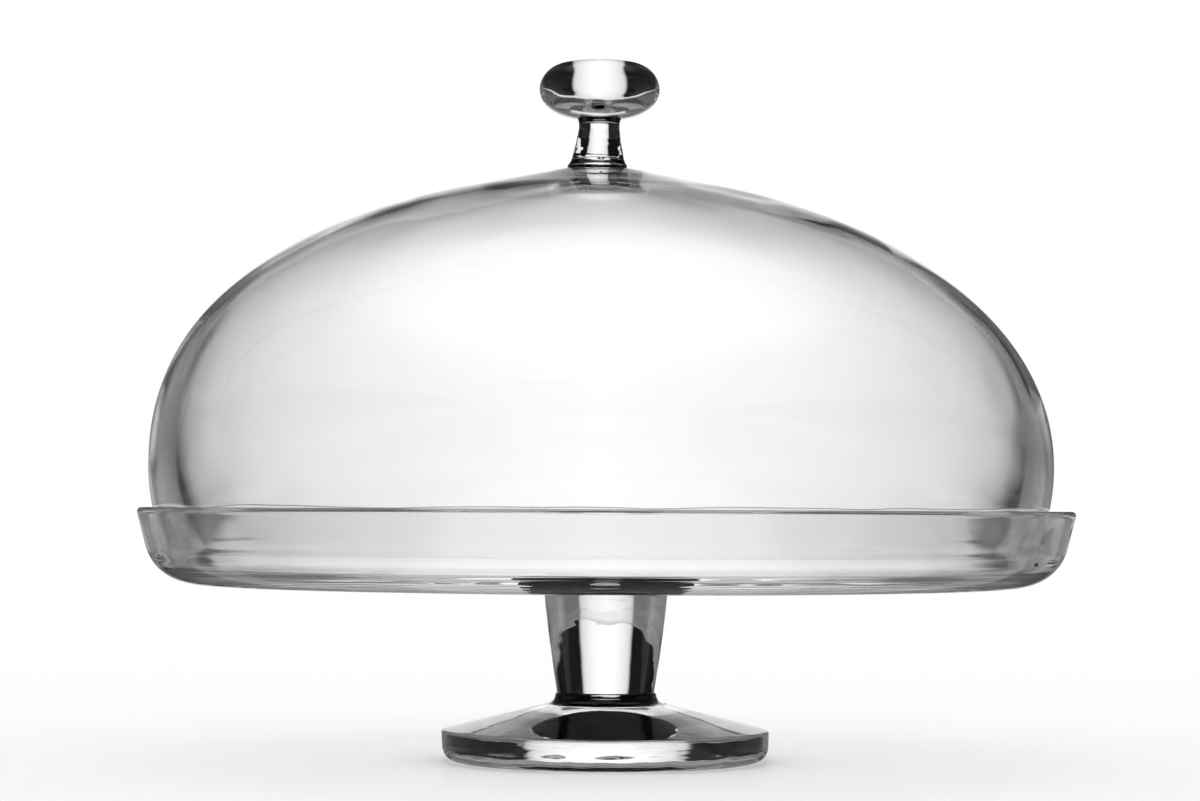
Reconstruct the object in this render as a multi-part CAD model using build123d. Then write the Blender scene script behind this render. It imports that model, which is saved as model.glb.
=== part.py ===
from build123d import *
import math
import os

# A footed cake plate with a domed cover, hand made in clear glass.
# Each node is one gather of glass. Millimetres, +Z up, the glass turns about Z,
# and the origin is the middle of the foot's underside.

# Foot: a thick disc with a shallow cone on top
foot_radius = 56.3
foot_side_draw = 0.6
foot_edge_height = 10.6
foot_cone_slope = 14.0
foot_base_rounding = 4.0
foot_top_rounding = 1.2

# Polished hollow under the foot, where the glass was cracked off the iron
pontil_radius = 13.0
pontil_depth = 0.9

# Collar between the foot and the stem: a low ring with a flared skirt
stem_collar_radius = 21.0
stem_collar_height = 4.2
stem_collar_ring_radius = 17.7
stem_collar_ring_height = 2.6
stem_collar_skirt_reach = 2.0

# Stem: a solid column that widens upwards
stem_bottom_radius = 16.7
stem_top_radius = 21.5
stem_belly = 0.35

# Plate: flat floor, belly curve, leaning wall
plate_underside_height = 60.0
plate_floor_thickness = 5.4
plate_rim_radius = 160.2
plate_depth = 20.6
plate_wall = 3.0
plate_wall_lean = 14.5
plate_belly_width = 19.4
plate_belly_height = 13.0
plate_belly_floor_reach = 12.0
plate_belly_wall_reach = 6.2
plate_inner_rounding = 5.5
plate_rim_rounding = 0.8

# Dome: a bell that leans in below its widest ring and ends in a ground flat edge
dome_floor_clearance = 2.8
dome_draw_in = 9.6
dome_wall = 2.3
dome_widest_height = 35.4
dome_seat_height = 138.2
dome_crown_radius = 50.0
dome_crown_slope = 12.0
dome_shoulder_reach = 36.4
dome_side_reach = 61.3
dome_edge_bevel = 0.4
dome_apex_radius = 18.0

# Collar between the dome and the knob's neck
knob_collar_radius = 10.3
knob_collar_seat_radius = 10.0
knob_collar_height = 3.8
knob_collar_edge = 1.3
knob_collar_flare_width = 0.4
knob_collar_flare_height = 0.9

# Neck of the knob
neck_bottom_radius = 8.9
neck_waist_radius = 7.0
neck_top_radius = 7.6
neck_height = 13.3
neck_waist_drop = 1.9
neck_bottom_slope = 102.0
neck_top_slope = 48.0

# Knob: a flattened ball with a small flat top
knob_radius = 20.8
knob_flat_radius = 10.8
knob_lower_depth = 10.0
knob_upper_height = 9.1
knob_under_slope = 9.0
knob_side_reach = 6.0
knob_under_reach = 6.6


def slope_of(degrees):
    return math.tan(math.radians(degrees))


def direction(degrees):
    return Vector(math.cos(math.radians(degrees)), math.sin(math.radians(degrees)))


def turned(outline):
    """The solid that a closed outline of radius and height sweeps about the axis."""
    face = make_face(Plane.XZ * outline)
    return revolve(face, Axis.Z)


# Heights of the stand that follow from the sizes above
foot_seat_height = foot_edge_height + (foot_radius - stem_collar_radius) * slope_of(foot_cone_slope)
stem_bottom_height = foot_seat_height + stem_collar_height
floor_height = plate_underside_height + plate_floor_thickness
rim_height = floor_height + plate_depth

# The plate's inner corner, and the dome's edge on the flat floor inside it
plate_wall_width = plate_wall / math.cos(math.radians(plate_wall_lean))
plate_inner_rim_radius = plate_rim_radius - plate_wall_width
plate_corner_radius = plate_inner_rim_radius - plate_depth * slope_of(plate_wall_lean)
plate_floor_radius = plate_corner_radius - plate_inner_rounding / slope_of(45 + plate_wall_lean / 2)
dome_edge_radius = plate_floor_radius - dome_floor_clearance
dome_radius = dome_edge_radius + dome_draw_in

# Heights of the cover
dome_widest_z = floor_height + dome_widest_height
dome_seat_z = floor_height + dome_seat_height
dome_crown_z = dome_seat_z - (dome_crown_radius - knob_collar_seat_radius) * slope_of(dome_crown_slope)
neck_bottom_z = dome_seat_z + knob_collar_height
knob_bottom_z = neck_bottom_z + neck_height
knob_widest_z = knob_bottom_z + knob_lower_depth
knob_top_z = knob_widest_z + knob_upper_height


def foot():
    side_bottom = foot_radius - foot_side_draw
    outline = Polyline(
        (0, 0),
        (side_bottom, 0),
        (foot_radius, foot_edge_height),
        (stem_collar_radius, foot_seat_height),
        (0, foot_seat_height),
        close=True,
    )
    face = make_face(outline)
    corners = face.vertices()
    base_corner = corners.sort_by_distance((side_bottom, 0, 0))[0]
    face = fillet(base_corner, foot_base_rounding)
    top_corner = face.vertices().sort_by_distance((foot_radius, foot_edge_height, 0))[0]
    face = fillet(top_corner, foot_top_rounding)
    disc = revolve(Plane.XZ * face, Axis.Z)
    hollow_ball = (pontil_radius**2 + pontil_depth**2) / (2 * pontil_depth)
    return disc - Pos(0, 0, pontil_depth - hollow_ball) * Sphere(hollow_ball)


def stem_collar():
    bottom = (stem_collar_radius, foot_seat_height)
    ring_z = foot_seat_height + stem_collar_height - stem_collar_ring_height
    ring = (stem_collar_ring_radius, ring_z)
    top = (stem_bottom_radius, stem_bottom_height)
    skirt = Bezier(
        bottom,
        (stem_collar_radius - stem_collar_skirt_reach, foot_seat_height),
        ring,
    )
    bulge = ThreePointArc(
        ring,
        (max(stem_collar_ring_radius, stem_bottom_radius), (ring_z + stem_bottom_height) / 2),
        top,
    )
    axis_side = Polyline(top, (0, stem_bottom_height), (0, foot_seat_height), bottom)
    return turned(skirt + bulge + axis_side)


def stem():
    height = plate_underside_height - stem_bottom_height
    bottom = (stem_bottom_radius, stem_bottom_height)
    top = (stem_top_radius, plate_underside_height)
    middle = (
        (stem_bottom_radius + stem_top_radius) / 2 + stem_belly,
        stem_bottom_height + height / 2,
    )
    side = ThreePointArc(bottom, middle, top)
    axis_side = Polyline(top, (0, plate_underside_height), (0, stem_bottom_height), bottom)
    return turned(side + axis_side)


def plate():
    lean = slope_of(plate_wall_lean)
    belly_top_z = plate_underside_height + plate_belly_height
    belly_top_r = plate_rim_radius - (rim_height - belly_top_z) * lean
    belly_start_r = belly_top_r - plate_belly_width
    wall_fall = direction(-90 - plate_wall_lean)
    belly = Bezier(
        (belly_start_r, plate_underside_height),
        (belly_start_r + plate_belly_floor_reach, plate_underside_height),
        Vector(belly_top_r, belly_top_z) + wall_fall * plate_belly_wall_reach,
        (belly_top_r, belly_top_z),
    )
    inner_rim = (plate_inner_rim_radius, rim_height)
    inner_corner = (plate_corner_radius, floor_height)
    rest = Polyline(
        (belly_top_r, belly_top_z),
        (plate_rim_radius, rim_height),
        inner_rim,
        inner_corner,
        (0, floor_height),
        (0, plate_underside_height),
        (belly_start_r, plate_underside_height),
    )
    face = make_face(belly + rest)
    for corner, rounding in (
        ((plate_rim_radius, rim_height), plate_rim_rounding),
        (inner_rim, plate_rim_rounding),
        (inner_corner, plate_inner_rounding),
    ):
        nearest = face.vertices().sort_by_distance((*corner, 0))[0]
        face = fillet(nearest, rounding)
    return revolve(Plane.XZ * face, Axis.Z)


def dome_side(inset):
    """The dome's curve from its crown's edge down to its ground edge, moved in by inset."""
    fall = direction(-dome_crown_slope)
    inward = direction(-90 - dome_crown_slope) * inset
    crown = Vector(dome_crown_radius, dome_crown_z) + inward
    widest = Vector(dome_radius - inset, dome_widest_z)
    scale = 1 - inset / dome_radius
    shoulder = Bezier(
        crown,
        crown + fall * dome_shoulder_reach * scale,
        widest + Vector(0, dome_side_reach * scale),
        widest,
    )
    ball = (dome_widest_height**2 + dome_draw_in**2) / (2 * dome_draw_in) - inset
    edge = Vector(dome_radius - inset - ball + math.sqrt(ball**2 - dome_widest_height**2), floor_height)
    middle_drop = dome_widest_height / 2
    middle = Vector(
        dome_radius - inset - ball + math.sqrt(ball**2 - middle_drop**2),
        dome_widest_z - middle_drop,
    )
    below = ThreePointArc(widest, middle, edge)
    return crown, shoulder + below, edge


def dome():
    outer_crown, outer_side, outer_edge = dome_side(0)
    inner_crown, inner_side, inner_edge = dome_side(dome_wall)
    crown_rise = (inner_crown.X - dome_apex_radius) * slope_of(dome_crown_slope)
    cap_edge = Vector(dome_apex_radius, inner_crown.Y + crown_rise)
    cap_ball = dome_apex_radius / math.sin(math.radians(dome_crown_slope))
    cap_centre = cap_edge - direction(90 - dome_crown_slope) * cap_ball
    cap_middle = cap_centre + direction(90 - dome_crown_slope / 2) * cap_ball
    cap_top = cap_centre + Vector(0, cap_ball)
    cap = ThreePointArc(cap_top, cap_middle, cap_edge)
    inner_cone = Line(cap_edge, inner_crown)
    seat = Vector(knob_collar_seat_radius, dome_seat_z)
    outer_cone = Polyline(outer_crown, seat, (0, dome_seat_z), cap_top)
    ground_edge = Line(outer_edge, inner_edge)
    face = make_face(outer_cone + cap + inner_cone + inner_side + ground_edge + outer_side)
    for corner in (outer_edge, inner_edge):
        nearest = face.vertices().sort_by_distance(corner)[0]
        face = chamfer(nearest, dome_edge_bevel)
    return revolve(Plane.XZ * face, Axis.Z)


def knob_collar():
    top_z = neck_bottom_z
    widest_z = dome_seat_z + knob_collar_edge
    ring = ThreePointArc(
        (knob_collar_seat_radius, dome_seat_z),
        (knob_collar_radius, dome_seat_z + knob_collar_edge / 2),
        (knob_collar_seat_radius, widest_z),
    )
    flare = Bezier(
        (knob_collar_seat_radius, widest_z),
        (neck_bottom_radius + knob_collar_flare_width, widest_z + knob_collar_flare_height),
        (neck_bottom_radius, top_z),
    )
    axis_side = Polyline(
        (neck_bottom_radius, top_z),
        (0, top_z),
        (0, dome_seat_z),
        (knob_collar_seat_radius, dome_seat_z),
    )
    return turned(ring + flare + axis_side)


def knob_neck():
    waist_z = knob_bottom_z - neck_waist_drop
    flare = Spline(
        (neck_bottom_radius, neck_bottom_z),
        (neck_waist_radius, waist_z),
        (neck_top_radius, knob_bottom_z),
        tangents=[direction(neck_bottom_slope), direction(neck_top_slope)],
    )
    axis_side = Polyline(
        (neck_top_radius, knob_bottom_z),
        (0, knob_bottom_z),
        (0, neck_bottom_z),
        (neck_bottom_radius, neck_bottom_z),
    )
    return turned(flare + axis_side)


def knob():
    under = direction(knob_under_slope) * knob_under_reach
    lower = Bezier(
        (neck_top_radius, knob_bottom_z),
        Vector(neck_top_radius, knob_bottom_z) + under,
        (knob_radius, knob_widest_z - knob_side_reach),
        (knob_radius, knob_widest_z),
    )
    upper = EllipticalCenterArc(
        (knob_flat_radius, knob_widest_z),
        knob_radius - knob_flat_radius,
        knob_upper_height,
        start_angle=0,
        arc_size=90,
    )
    axis_side = Polyline(
        (knob_flat_radius, knob_top_z),
        (0, knob_top_z),
        (0, knob_bottom_z),
        (neck_top_radius, knob_bottom_z),
    )
    return turned(lower + upper + axis_side)


os.makedirs("parts", exist_ok=True)
for piece in (foot, stem_collar, stem, plate, dome, knob_collar, knob_neck, knob):
    export_step(piece(), f"parts/{piece.__name__}.step")
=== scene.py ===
import math

import bmesh
import bpy
from mathutils import Matrix


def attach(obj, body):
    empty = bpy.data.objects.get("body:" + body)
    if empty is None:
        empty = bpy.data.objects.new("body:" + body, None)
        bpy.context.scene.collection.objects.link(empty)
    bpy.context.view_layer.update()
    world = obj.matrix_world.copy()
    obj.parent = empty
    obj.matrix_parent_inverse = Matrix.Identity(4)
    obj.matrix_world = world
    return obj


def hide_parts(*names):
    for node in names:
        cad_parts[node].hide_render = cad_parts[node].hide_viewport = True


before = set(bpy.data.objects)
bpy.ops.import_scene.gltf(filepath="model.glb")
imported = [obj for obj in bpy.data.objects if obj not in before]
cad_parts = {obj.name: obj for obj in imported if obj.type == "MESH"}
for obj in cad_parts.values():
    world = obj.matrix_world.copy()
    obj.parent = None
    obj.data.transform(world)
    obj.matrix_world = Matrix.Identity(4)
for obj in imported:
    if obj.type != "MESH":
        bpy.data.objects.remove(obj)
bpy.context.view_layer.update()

# The foot. A thick disc of clear glass pressed flat while hot, with a shallow cone on top, its edge
# fire polished to a soft round. Under its middle a shallow hollow is ground and polished, where the
# stand was cracked off the glassmaker's iron. Its top is fused to the collar, with no skin between.

MM = 0.001
FUSED, STILL, GROUND = "fused", "still", "ground"


def run(start, end, steps):
    """Points of radius and height along a straight stretch, without its end."""
    return [
        (start[0] + (end[0] - start[0]) * i / steps, start[1] + (end[1] - start[1]) * i / steps)
        for i in range(steps)
    ]


def bend(start, pull_a, pull_b, end, steps):
    """Points along a curve that two handles pull, without its end."""
    points = []
    for i in range(steps):
        t = i / steps
        shares = ((1 - t) ** 3, 3 * (1 - t) ** 2 * t, 3 * (1 - t) * t**2, t**3)
        handles = (start, pull_a, pull_b, end)
        points.append(tuple(sum(s * h[k] for s, h in zip(shares, handles)) for k in (0, 1)))
    return points


def swing(centre, radius, start_angle, end_angle, steps):
    """Points along part of a circle, angles in degrees from straight out, without its end."""
    angles = (math.radians(start_angle + (end_angle - start_angle) * i / steps) for i in range(steps))
    return [(centre[0] + radius * math.cos(a), centre[1] + radius * math.sin(a)) for a in angles]


def through(start, middle, end, steps):
    """Points along the circle through three points, without its end."""
    ax, ay = middle[0] - start[0], middle[1] - start[1]
    bx, by = end[0] - start[0], end[1] - start[1]
    twice = 2 * (ax * by - ay * bx)
    ux = (by * (ax * ax + ay * ay) - ay * (bx * bx + by * by)) / twice
    uy = (ax * (bx * bx + by * by) - bx * (ax * ax + ay * ay)) / twice
    centre = (start[0] + ux, start[1] + uy)
    first = math.degrees(math.atan2(-uy, -ux))
    turn = math.degrees(math.atan2(end[1] - centre[1], end[0] - centre[0])) - first
    turn = (turn + 180) % 360 - 180
    return swing(centre, math.hypot(ux, uy), first, first + turn, steps)


def corner(before, at, after, radius, steps):
    """Points round a corner between two straight stretches, both ends kept."""
    a = (before[0] - at[0], before[1] - at[1])
    b = (after[0] - at[0], after[1] - at[1])
    a = (a[0] / math.hypot(*a), a[1] / math.hypot(*a))
    b = (b[0] / math.hypot(*b), b[1] / math.hypot(*b))
    half = math.acos(a[0] * b[0] + a[1] * b[1]) / 2
    back = radius / math.tan(half)
    middle_way = (a[0] + b[0], a[1] + b[1])
    reach = radius / math.sin(half) / math.hypot(*middle_way)
    centre = (at[0] + middle_way[0] * reach, at[1] + middle_way[1] * reach)
    first = (at[0] + a[0] * back, at[1] + a[1] * back)
    last = (at[0] + b[0] * back, at[1] + b[1] * back)
    start_angle = math.degrees(math.atan2(first[1] - centre[1], first[0] - centre[0]))
    turn = math.degrees(math.atan2(last[1] - centre[1], last[0] - centre[0])) - start_angle
    turn = (turn + 180) % 360 - 180
    return swing(centre, radius, start_angle, start_angle + turn, steps) + [last]


def slope_of(degrees):
    return math.tan(math.radians(degrees))


def node(tree, kind, *values, **words):
    """Adds a node: values fill its inputs in order, Capital words name inputs, small words are settings."""
    made = tree.nodes.new(kind)
    for word, value in words.items():
        if word[0].islower():
            setattr(made, word, value)
    given = list(enumerate(values))
    given += [(word.replace("_", " "), value) for word, value in words.items() if word[0].isupper()]
    for place, value in given:
        if isinstance(value, bpy.types.NodeSocket):
            tree.links.new(value, made.inputs[place])
        else:
            made.inputs[place].default_value = value
    return made


SEAM_MM = 0.001
SHARP_FOLD = 0.5
MARK_ROUND_SHARE = 0.12


def hand_turned():
    """The tree that sweeps an outline about the axis, as a gather turns on the iron, a little unevenly."""
    tree = bpy.data.node_groups.new("hand turned gather", "GeometryNodeTree")
    face = tree.interface
    face.new_socket("Outline", in_out="INPUT", socket_type="NodeSocketGeometry")
    for name, kind in (
        ("Steps Round", "Int"),
        ("Wobble", "Float"),
        ("Wobbles Per Metre", "Float"),
        ("Tool Marks", "Float"),
        ("Marks Per Metre", "Float"),
        ("Seed", "Float"),
        ("Glass", "Material"),
        ("Fused Face", "Material"),
        ("Ground Face", "Material"),
    ):
        face.new_socket(name, in_out="INPUT", socket_type="NodeSocket" + kind)
    face.new_socket("Gather", in_out="OUTPUT", socket_type="NodeSocketGeometry")
    given = node(tree, "NodeGroupInput").outputs

    # A sheet with a row for each point of the outline and a column for each step round the axis.
    count = node(tree, "GeometryNodeAttributeDomainSize", given["Outline"]).outputs["Point Count"]
    columns = node(tree, "ShaderNodeMath", given["Steps Round"], 1, operation="ADD").outputs[0]
    sheet = node(tree, "GeometryNodeMeshGrid", Vertices_X=count, Vertices_Y=columns).outputs["Mesh"]
    index = node(tree, "GeometryNodeInputIndex").outputs[0]
    centred = node(tree, "ShaderNodeMath", index, 0.5, operation="ADD").outputs[0]
    rows = node(tree, "ShaderNodeMath", centred, columns, operation="DIVIDE").outputs[0]
    place = node(tree, "ShaderNodeMath", rows, operation="FLOOR").outputs[0]
    passed = node(tree, "ShaderNodeMath", place, columns, operation="MULTIPLY").outputs[0]
    step = node(tree, "ShaderNodeMath", index, passed, operation="SUBTRACT").outputs[0]
    turned = node(tree, "ShaderNodeMath", step, 2 * math.pi, operation="MULTIPLY").outputs[0]
    angle = node(tree, "ShaderNodeMath", turned, given["Steps Round"], operation="DIVIDE").outputs[0]
    east = node(tree, "ShaderNodeMath", angle, operation="COSINE").outputs[0]
    north = node(tree, "ShaderNodeMath", angle, operation="SINE").outputs[0]

    def carried(kind, name=None):
        """What the outline carries at the point that each part of the sheet comes from."""
        if name is None:
            source = node(tree, "GeometryNodeInputPosition").outputs[0]
        else:
            source = node(tree, "GeometryNodeInputNamedAttribute", Name=name, data_type=kind).outputs[0]
        return node(
            tree,
            "GeometryNodeSampleIndex",
            Geometry=given["Outline"],
            Value=source,
            Index=place,
            data_type=kind,
        ).outputs[0]

    on_outline = carried("FLOAT_VECTOR")
    radius, _, height = node(tree, "ShaderNodeSeparateXYZ", on_outline).outputs
    true_x = node(tree, "ShaderNodeMath", radius, east, operation="MULTIPLY").outputs[0]
    true_y = node(tree, "ShaderNodeMath", radius, north, operation="MULTIPLY").outputs[0]
    true_place = node(tree, "ShaderNodeCombineXYZ", true_x, true_y, height).outputs[0]

    def unevenness(across, along):
        """How far the hot glass runs out of true, from -1 to 1, with so many swells to the metre."""
        fineness = node(tree, "ShaderNodeCombineXYZ", across, across, along).outputs[0]
        where = node(tree, "ShaderNodeVectorMath", true_place, fineness, operation="MULTIPLY").outputs[0]
        noise = node(
            tree,
            "ShaderNodeTexNoise",
            Vector=where,
            W=given["Seed"],
            Scale=1.0,
            Detail=1.0,
            noise_dimensions="4D",
        ).outputs[0]
        off_middle = node(tree, "ShaderNodeMath", noise, 0.5, operation="SUBTRACT").outputs[0]
        return node(tree, "ShaderNodeMath", off_middle, 2.0, operation="MULTIPLY").outputs[0]

    # The wobble of the turning and the rings of the tools push each place out or in along its normal.
    swell = unevenness(given["Wobbles Per Metre"], given["Wobbles Per Metre"])
    wobble = node(tree, "ShaderNodeMath", swell, given["Wobble"], operation="MULTIPLY").outputs[0]
    close_set = given["Marks Per Metre"]
    few = node(tree, "ShaderNodeMath", close_set, MARK_ROUND_SHARE, operation="MULTIPLY").outputs[0]
    rings = unevenness(few, close_set)
    marks = node(tree, "ShaderNodeMath", rings, given["Tool Marks"], operation="MULTIPLY").outputs[0]
    push = node(tree, "ShaderNodeMath", wobble, marks, operation="ADD").outputs[0]
    outward = carried("FLOAT_VECTOR", "outward")
    shift = node(tree, "ShaderNodeVectorMath", outward, push, operation="MULTIPLY").outputs[0]
    moved = node(tree, "ShaderNodeVectorMath", on_outline, shift, operation="ADD").outputs[0]
    radius, _, height = node(tree, "ShaderNodeSeparateXYZ", moved).outputs
    eastward = node(tree, "ShaderNodeMath", radius, east, operation="MULTIPLY").outputs[0]
    x = node(tree, "ShaderNodeMath", eastward, carried("FLOAT", "lean"), operation="ADD").outputs[0]
    y = node(tree, "ShaderNodeMath", radius, north, operation="MULTIPLY").outputs[0]
    z = node(tree, "ShaderNodeMath", height, 0.0, operation="MAXIMUM").outputs[0]
    place_now = node(tree, "ShaderNodeCombineXYZ", x, y, z).outputs[0]

    kept = sheet
    for name in (FUSED, GROUND):
        kept = node(
            tree,
            "GeometryNodeStoreNamedAttribute",
            Geometry=kept,
            Name=name,
            Value=carried("BOOLEAN", name),
            data_type="BOOLEAN",
            domain="POINT",
        ).outputs[0]
    swept = node(tree, "GeometryNodeSetPosition", Geometry=kept, Position=place_now).outputs[0]
    closed = node(tree, "GeometryNodeMergeByDistance", Geometry=swept, Distance=SEAM_MM * MM).outputs[0]
    smooth = node(tree, "GeometryNodeSetShadeSmooth", Geometry=closed, domain="FACE").outputs[0]
    fold = node(tree, "GeometryNodeInputMeshEdgeAngle").outputs["Unsigned Angle"]
    sharp = node(tree, "FunctionNodeCompare", fold, SHARP_FOLD, operation="GREATER_THAN").outputs[0]
    crisp = node(
        tree,
        "GeometryNodeSetShadeSmooth",
        Geometry=smooth,
        Selection=sharp,
        Shade_Smooth=False,
        domain="EDGE",
    ).outputs[0]
    solid = node(tree, "GeometryNodeRealizeInstances", crisp).outputs[0]
    solid = node(tree, "GeometryNodeSetMaterial", Geometry=solid, Material=given["Glass"]).outputs[0]
    for name, finish in ((FUSED, "Fused Face"), (GROUND, "Ground Face")):
        chosen = node(tree, "GeometryNodeInputNamedAttribute", Name=name, data_type="BOOLEAN").outputs[0]
        solid = node(
            tree, "GeometryNodeSetMaterial", Geometry=solid, Selection=chosen, Material=given[finish]
        ).outputs[0]
    node(tree, "NodeGroupOutput", solid)
    return tree


turning = hand_turned()


def turn(name, stretches, steps, wobble, marks, seed, finish, ground=None, fade=4.0, lean=None):
    """One gather of glass from its outline, as a plain closed mesh. Stretches are (kind, play, points)."""
    points, play, kinds = [], [], []
    for kind, looseness, stretch in stretches:
        points += stretch
        play += [looseness] * len(stretch)
        kinds += [kind] * len(stretch)
    flagged = {
        mark: [k == mark or (i and kinds[i - 1] == mark) for i, k in enumerate(kinds)]
        for mark in (FUSED, GROUND)
    }
    run_length = [0.0]
    for a, b in zip(points, points[1:]):
        run_length.append(run_length[-1] + math.hypot(b[0] - a[0], b[1] - a[1]))
    fixed = [run_length[i] for i, p in enumerate(play) if p == 0 or flagged[FUSED][i]]
    outward = []
    for i, (radius, _) in enumerate(points):
        a, b = points[max(i - 1, 0)], points[min(i + 1, len(points) - 1)]
        dr, dz = b[0] - a[0], b[1] - a[1]
        size = math.hypot(dr, dz)
        far = min((abs(run_length[i] - f) for f in fixed), default=fade)
        share = min(1.0, far / fade)
        weight = play[i] * share * share * (3 - 2 * share)
        outward.append((dz / size * weight if radius > 1e-9 else 0.0, 0.0, -dr / size * weight))
    mesh = bpy.data.meshes.new(name + "_outline")
    mesh.from_pydata(
        [(r * MM, 0.0, z * MM) for r, z in points], [(i, i + 1) for i in range(len(points) - 1)], []
    )
    mesh.attributes.new("outward", "FLOAT_VECTOR", "POINT").data.foreach_set(
        "vector", [v for way in outward for v in way]
    )
    mesh.attributes.new("lean", "FLOAT", "POINT").data.foreach_set(
        "value", [lean(z) * MM if lean else 0.0 for _, z in points]
    )
    for mark in (FUSED, GROUND):
        mesh.attributes.new(mark, "BOOLEAN", "POINT").data.foreach_set("value", flagged[mark])
    blank = bpy.data.objects.new(name + "_outline", mesh)
    bpy.context.scene.collection.objects.link(blank)
    sweep = blank.modifiers.new("turn", "NODES")
    sweep.node_group = turning
    chosen = {
        "Steps Round": steps,
        "Wobble": wobble[0] * MM,
        "Wobbles Per Metre": 1 / (wobble[1] * MM),
        "Tool Marks": marks[0] * MM,
        "Marks Per Metre": 1 / (marks[1] * MM),
        "Seed": float(seed),
        "Glass": finish,
        "Fused Face": fused_glass,
        "Ground Face": ground or finish,
    }
    for socket in turning.interface.items_tree:
        if socket.in_out == "INPUT" and socket.name in chosen:
            sweep[socket.identifier] = chosen[socket.name]
    bpy.context.view_layer.update()
    graph = bpy.context.evaluated_depsgraph_get()
    made = bpy.data.meshes.new_from_object(blank.evaluated_get(graph))
    bpy.data.objects.remove(blank)
    shape = bmesh.new()
    shape.from_mesh(made)
    bmesh.ops.recalc_face_normals(shape, faces=shape.faces)
    shape.to_mesh(made)
    shape.free()
    made.name = name
    piece = bpy.data.objects.new(name, made)
    bpy.context.scene.collection.objects.link(piece)
    return piece


def tint(code):
    """An sRGB hex colour as linear red, green, blue and alpha."""
    parts = [int(code[i : i + 2], 16) / 255 for i in (1, 3, 5)]
    return tuple(c / 12.92 if c <= 0.04045 else ((c + 0.055) / 1.055) ** 2.4 for c in parts) + (1.0,)


def new_finish(name):
    made = bpy.data.materials.new(name)
    made.use_nodes = True
    made.node_tree.nodes.clear()
    return made, made.node_tree


# Clear soda-lime glass, worked hot and fire polished: no grain at all, only slow swells left by the
# tools and faint cords where one gather met the next, which bend what is seen through it.
GLASS_IOR = 1.52
SWELL_MM = 9.0
CORD_MM = 2.2
fire_polished, tree = new_finish("clear glass, fire polished")
spot = node(tree, "ShaderNodeTexCoord").outputs["Object"]
swell = node(tree, "ShaderNodeTexNoise", Vector=spot, Scale=1 / (SWELL_MM * MM), Detail=1.0).outputs[0]
stretched = node(tree, "ShaderNodeMapping", Vector=spot, Scale=(0.25, 0.25, 1.0)).outputs[0]
cord = node(tree, "ShaderNodeTexNoise", Vector=stretched, Scale=1 / (CORD_MM * MM), Detail=2.0).outputs[0]
slow = node(tree, "ShaderNodeBump", Strength=0.25, Distance=0.2 * MM, Height=swell).outputs[0]
fine = node(tree, "ShaderNodeBump", Strength=0.12, Distance=0.04 * MM, Height=cord, Normal=slow).outputs[0]
body_tint = node(tree, "ShaderNodeValToRGB", Fac=swell)
body_tint.color_ramp.elements[0].color = tint("#FCFDFC")
body_tint.color_ramp.elements[1].color = tint("#FFFFFF")
shader = node(
    tree,
    "ShaderNodeBsdfPrincipled",
    Base_Color=body_tint.outputs[0],
    Roughness=0.0,
    IOR=GLASS_IOR,
    Transmission_Weight=1.0,
    Normal=fine,
).outputs[0]
node(tree, "ShaderNodeOutputMaterial", Surface=shader)

# Glass fused to glass: the two gathers melted into one, so the meeting face neither bends nor mirrors.
fused_glass, tree = new_finish("fused face, glass in glass")
spot = node(tree, "ShaderNodeTexCoord").outputs["Object"]
cloud = node(tree, "ShaderNodeTexNoise", Vector=spot, Scale=1 / (SWELL_MM * MM)).outputs[0]
clear = node(tree, "ShaderNodeValToRGB", Fac=cloud)
clear.color_ramp.elements[0].color = tint("#FEFEFE")
clear.color_ramp.elements[1].color = tint("#FFFFFF")
shader = node(
    tree,
    "ShaderNodeBsdfPrincipled",
    Base_Color=clear.outputs[0],
    Roughness=0.0,
    IOR=1.0,
    Transmission_Weight=1.0,
).outputs[0]
node(tree, "ShaderNodeOutputMaterial", Surface=shader)

FOOT_R = 56.3
FOOT_SIDE_DRAW = 0.6
FOOT_EDGE_Z = 10.6
FOOT_SLOPE = 14.0
FOOT_BASE_ROUND = 4.9
FOOT_TOP_ROUND = 1.2
HOLLOW_R = 13.0
HOLLOW_DEPTH = 0.9
COLLAR_R = 21.0
foot_seat_z = FOOT_EDGE_Z + (FOOT_R - COLLAR_R) * slope_of(FOOT_SLOPE)
hollow_ball = (HOLLOW_R**2 + HOLLOW_DEPTH**2) / (2 * HOLLOW_DEPTH)
hollow_centre = (0.0, HOLLOW_DEPTH - hollow_ball)
hollow_edge = math.degrees(math.acos(HOLLOW_R / hollow_ball))
foot_base = (FOOT_R - FOOT_SIDE_DRAW, 0.0)
foot_shoulder = (FOOT_R, FOOT_EDGE_Z)
foot_seat = (COLLAR_R, foot_seat_z)
base_round = corner((0, 0), foot_base, foot_shoulder, FOOT_BASE_ROUND, 12)
top_round = corner(foot_base, foot_shoulder, foot_seat, FOOT_TOP_ROUND, 10)
foot = turn(
    "foot",
    [
        (STILL, 0, swing(hollow_centre, hollow_ball, 90, hollow_edge, 14)),
        (STILL, 0, run((HOLLOW_R, 0), base_round[0], 16)),
        ("free", 1.5, base_round[:-1]),
        ("free", 0.6, run(base_round[-1], top_round[0], 8) + top_round[:-1]),
        ("free", 0.25, run(top_round[-1], foot_seat, 28)),
        (FUSED, 0, run(foot_seat, (0, foot_seat_z), 6) + [(0, foot_seat_z)]),
    ],
    steps=288,
    wobble=(0.22, 8),
    marks=(0.0, 10),
    seed=3,
    finish=fire_polished,
    fade=1.5,
)
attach(foot, "stand")
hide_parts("foot")

# The collar and the stem. A small gather is dropped on the foot and spread into a low ring with a
# flared skirt, then a solid column is drawn up from it, widest where it meets the plate. All of it is
# clear glass, joined hot, with rings and puddled edges left by the jacks.

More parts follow.
